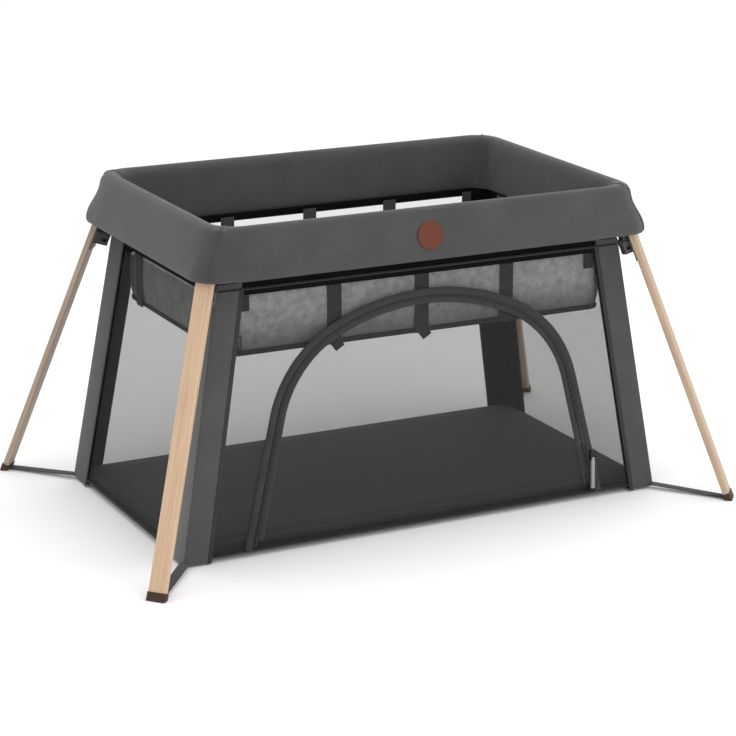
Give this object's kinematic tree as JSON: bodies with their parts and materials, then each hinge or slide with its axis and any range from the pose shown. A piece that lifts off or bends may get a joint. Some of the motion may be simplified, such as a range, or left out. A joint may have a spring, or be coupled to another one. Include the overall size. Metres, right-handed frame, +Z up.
{
  "type": "folding travel playpen",
  "caption": "Rectangular travel playpen with padded rail, mesh walls, zipped arch door, splayed beech legs and a hanging bassinet; the frame folds in half.",
  "frame": {"origin": "on the floor, under the middle of the playpen", "axes": "+X along the long side, -Y towards the side with the arch door, +Z up"},
  "size_m": [1.2834, 0.8614, 0.645],
  "materials": {
    "frame_tube": "satin anodised",
    "steel_pin": "satin",
    "moulded_nylon": "fine grained moulded",
    "button": "satin moulded",
    "foot_rubber": "matt",
    "webbing": "ribbed woven",
    "rail_fabric": "padded fine woven polyester",
    "mesh": "open knitted mesh",
    "post_fabric": "fine woven polyester",
    "mat_fabric": "woven polyester",
    "base_fabric": "coated woven polyester",
    "zip_tape": "woven tape",
    "zip_metal": "satin",
    "leather": "smooth vegetable tanned",
    "bassinet_fabric": "heather mesh",
    "bassinet_mattress": "quilted cotton",
    "beech": "satin lacquered"
  },
  "bodies": {
    "left_half": {"left_frame_tube": "frame_tube", "front_left_hinge_end": "moulded_nylon", "back_left_hinge_end": "moulded_nylon", "front_left_leg_bracket": "moulded_nylon", "rear_left_leg_bracket": "moulded_nylon", "left_leg_pins": "steel_pin", "rail_cover_left": "rail_fabric", "front_wall_left": "mesh", "back_wall_left": "mesh", "left_end_wall": "mesh", "left_corner_posts": "post_fabric", "base_left": "base_fabric", "mat_left": "mat_fabric", "zip_tape_left": "zip_tape", "door_binding_left": "post_fabric", "front_left_foot_strap": "webbing", "rear_left_foot_strap": "webbing"},
    "hinge_link": {"front_hinge_link": "moulded_nylon", "back_hinge_link": "moulded_nylon", "hinge_pins": "steel_pin", "hinge_flaps": "rail_fabric", "leather_patch": "leather"},
    "right_half": {"right_frame_tube": "frame_tube", "front_right_hinge_end": "moulded_nylon", "back_right_hinge_end": "moulded_nylon", "front_right_leg_bracket": "moulded_nylon", "rear_right_leg_bracket": "moulded_nylon", "right_leg_pins": "steel_pin", "rail_cover_right": "rail_fabric", "front_wall_right": "mesh", "back_wall_right": "mesh", "right_end_wall": "mesh", "right_corner_posts": "post_fabric", "base_right": "base_fabric", "mat_right": "mat_fabric", "zip_tape_right": "zip_tape", "door_binding_right": "post_fabric", "door_zip_slider": "zip_metal", "front_right_foot_strap": "webbing", "rear_right_foot_strap": "webbing"},
    "front_left_leg": {"front_left_leg_head": "moulded_nylon", "front_left_leg": "beech", "front_left_foot_cap": "foot_rubber"},
    "rear_left_leg": {"rear_left_leg_head": "moulded_nylon", "rear_left_leg": "beech", "rear_left_foot_cap": "foot_rubber"},
    "front_right_leg": {"front_right_leg_head": "moulded_nylon", "front_right_leg": "beech", "front_right_foot_cap": "foot_rubber"},
    "rear_right_leg": {"rear_right_leg_head": "moulded_nylon", "rear_right_leg": "beech", "rear_right_foot_cap": "foot_rubber"},
    "door_left": {"door_left": "mesh"},
    "door_right": {"door_right": "mesh"},
    "bassinet": {"bassinet_tub": "bassinet_fabric", "bassinet_mattress": "bassinet_mattress", "bassinet_straps": "webbing"},
    "zip_pull": {"door_zip_pull": "zip_metal"},
    "front_button": {"front_lock_button": "button"},
    "back_button": {"back_lock_button": "button"}
  },
  "joints": [
    {"name": "frame_fold", "type": "hinge", "parent": "left_half", "child": "hinge_link", "pos_m": [-0.025, 0, 0.626], "axis": [0, -1, 0], "range_deg": [0, 90]},
    {"name": "right_half_fold", "type": "hinge", "parent": "hinge_link", "child": "right_half", "pos_m": [0.025, 0, 0.626], "axis": [0, -1, 0], "range_deg": [0, 90]},
    {"name": "front_left_leg_fold", "type": "hinge", "parent": "left_half", "child": "front_left_leg", "pos_m": [-0.44924, -0.26154, 0.51612], "axis": [0.9261, 0.184, -0.3295], "range_deg": [0, 97], "deforming": ["front_left_foot_strap"]},
    {"name": "rear_right_leg_fold", "type": "hinge", "parent": "right_half", "child": "rear_right_leg", "pos_m": [0.44924, 0.26154, 0.51612], "axis": [-0.9261, -0.184, -0.3295], "range_deg": [0, 97], "deforming": ["rear_right_foot_strap"]},
    {"name": "rear_left_leg_fold", "type": "hinge", "parent": "left_half", "child": "rear_left_leg", "pos_m": [-0.44924, 0.26154, 0.51612], "axis": [-0.9486, 0.0746, 0.3077], "range_deg": [0, 89.8], "deforming": ["rear_left_foot_strap"]},
    {"name": "front_right_leg_fold", "type": "hinge", "parent": "right_half", "child": "front_right_leg", "pos_m": [0.44924, -0.26154, 0.51612], "axis": [0.9486, -0.0746, 0.3077], "range_deg": [0, 89.8], "deforming": ["front_right_foot_strap"]},
    {"name": "door_left_open", "type": "hinge", "parent": "left_half", "child": "door_left", "pos_m": [-0.19, -0.28642, 0.02684], "axis": [-1, 0, 0], "range_deg": [-95, 0]},
    {"name": "door_right_open", "type": "hinge", "parent": "right_half", "child": "door_right", "pos_m": [0.19, -0.28642, 0.02684], "axis": [-1, 0, 0], "range_deg": [-95, 0]},
    {"name": "bassinet_lift", "type": "slide", "parent": "left_half", "child": "bassinet", "axis": [0, 0, -1], "range_m": [-0.3, 0]},
    {"name": "zip_pull_swing", "type": "hinge", "parent": "right_half", "child": "zip_pull", "pos_m": [0.37227, -0.29101, 0.08521], "axis": [-1, 0, 0], "range_deg": [0, 120]},
    {"name": "front_lock_press", "type": "slide", "parent": "hinge_link", "child": "front_button", "axis": [0, 0, 1], "range_m": [0, 0.004], "stiffness_N_per_m": 300},
    {"name": "back_lock_press", "type": "slide", "parent": "hinge_link", "child": "back_button", "axis": [0, 0, 1], "range_m": [0, 0.004], "stiffness_N_per_m": 300}
  ],
  "couplings": [
    {"joint": "right_half_fold", "follows": "frame_fold", "ratio": 1},
    {"joint": "door_right_open", "follows": "door_left_open", "ratio": 1}
  ]
}
